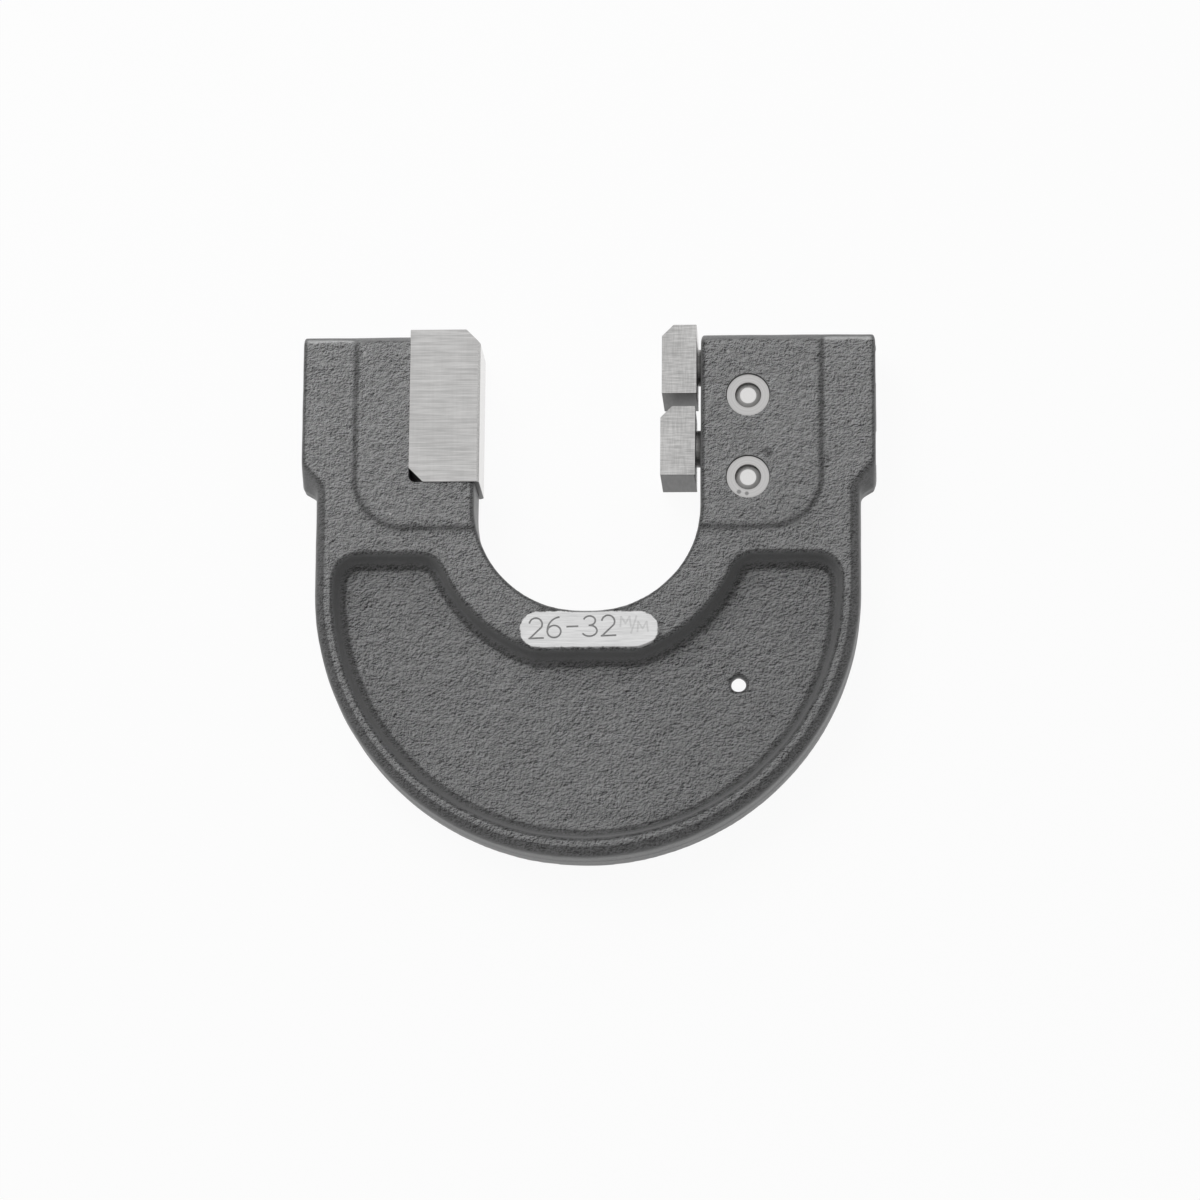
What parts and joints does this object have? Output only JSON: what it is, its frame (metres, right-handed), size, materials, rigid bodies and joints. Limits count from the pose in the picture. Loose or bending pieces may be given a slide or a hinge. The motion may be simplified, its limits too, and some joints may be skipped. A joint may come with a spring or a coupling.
{
  "type": "snap gauge",
  "caption": "Adjustable snap gauge: cast horseshoe frame with a fixed anvil block in one arm and sliding, lockable GO and NOT-GO gauging buttons in the other",
  "frame": {"origin": "middle of the outline, on the plane the gauge lies on", "axes": "+X across the measuring gap from the anvil to the buttons, +Y up the arms, +Z out of the front face"},
  "size_m": [0.0992, 0.0934, 0.0122],
  "materials": {
    "painted_casting": "rough cast, grey wrinkle paint",
    "ground_steel": "fine ground",
    "dark_steel": "blackened",
    "bright_steel": "turned, bright"
  },
  "bodies": {
    "frame": {"frame": "painted_casting", "anvil_block": "ground_steel", "anvil_screw_upper": "dark_steel", "anvil_screw_lower": "dark_steel", "go_lock_nut": "bright_steel", "not_go_lock_nut": "bright_steel"},
    "go_button": {"go_button": "ground_steel"},
    "go_adjusting_screw": {"go_adjusting_screw": "dark_steel"},
    "not_go_button": {"not_go_button": "ground_steel"},
    "not_go_adjusting_screw": {"not_go_adjusting_screw": "dark_steel"},
    "go_lock_bushing": {"go_lock_bushing": "bright_steel"},
    "go_lock_screw": {"go_lock_screw": "dark_steel"},
    "not_go_lock_bushing": {"not_go_lock_bushing": "bright_steel"},
    "not_go_lock_screw": {"not_go_lock_screw": "dark_steel"}
  },
  "joints": [
    {"name": "go_button_slide", "type": "slide", "parent": "frame", "child": "go_button", "axis": [1, 0, 0], "range_m": [-0.0054, 0.0006]},
    {"name": "go_adjusting_screw_turn", "type": "hinge", "parent": "go_button", "child": "go_adjusting_screw", "pos_m": [0.043, 0.04055, 0.0061], "axis": [1, 0, 0], "range_deg": [-2592, 288]},
    {"name": "not_go_button_slide", "type": "slide", "parent": "frame", "child": "not_go_button", "axis": [1, 0, 0], "range_m": [-0.0052, 0.0008]},
    {"name": "not_go_adjusting_screw_turn", "type": "hinge", "parent": "not_go_button", "child": "not_go_adjusting_screw", "pos_m": [0.043, 0.02595, 0.0061], "axis": [1, 0, 0], "range_deg": [-2496, 384]},
    {"name": "go_lock_bushing_slide", "type": "slide", "parent": "frame", "child": "go_lock_bushing", "axis": [0, 0, -1], "range_m": [0, 0.00035]},
    {"name": "go_lock_screw_turn", "type": "hinge", "parent": "go_lock_bushing", "child": "go_lock_screw", "pos_m": [0.02765, 0.03415, 0.0061], "axis": [0, 0, -1], "range_deg": [0, 180]},
    {"name": "not_go_lock_bushing_slide", "type": "slide", "parent": "frame", "child": "not_go_lock_bushing", "axis": [0, 0, -1], "range_m": [0, 0.00035]},
    {"name": "not_go_lock_screw_turn", "type": "hinge", "parent": "not_go_lock_bushing", "child": "not_go_lock_screw", "pos_m": [0.02765, 0.01955, 0.0061], "axis": [0, 0, -1], "range_deg": [0, 180]}
  ],
  "couplings": [
    {"joint": "go_adjusting_screw_turn", "follows": "go_button_slide", "rad_per_m": 8377.6},
    {"joint": "not_go_adjusting_screw_turn", "follows": "not_go_button_slide", "rad_per_m": 8377.6},
    {"joint": "go_lock_screw_turn", "follows": "go_lock_bushing_slide", "rad_per_m": 8976},
    {"joint": "not_go_lock_screw_turn", "follows": "not_go_lock_bushing_slide", "rad_per_m": 8976}
  ]
}
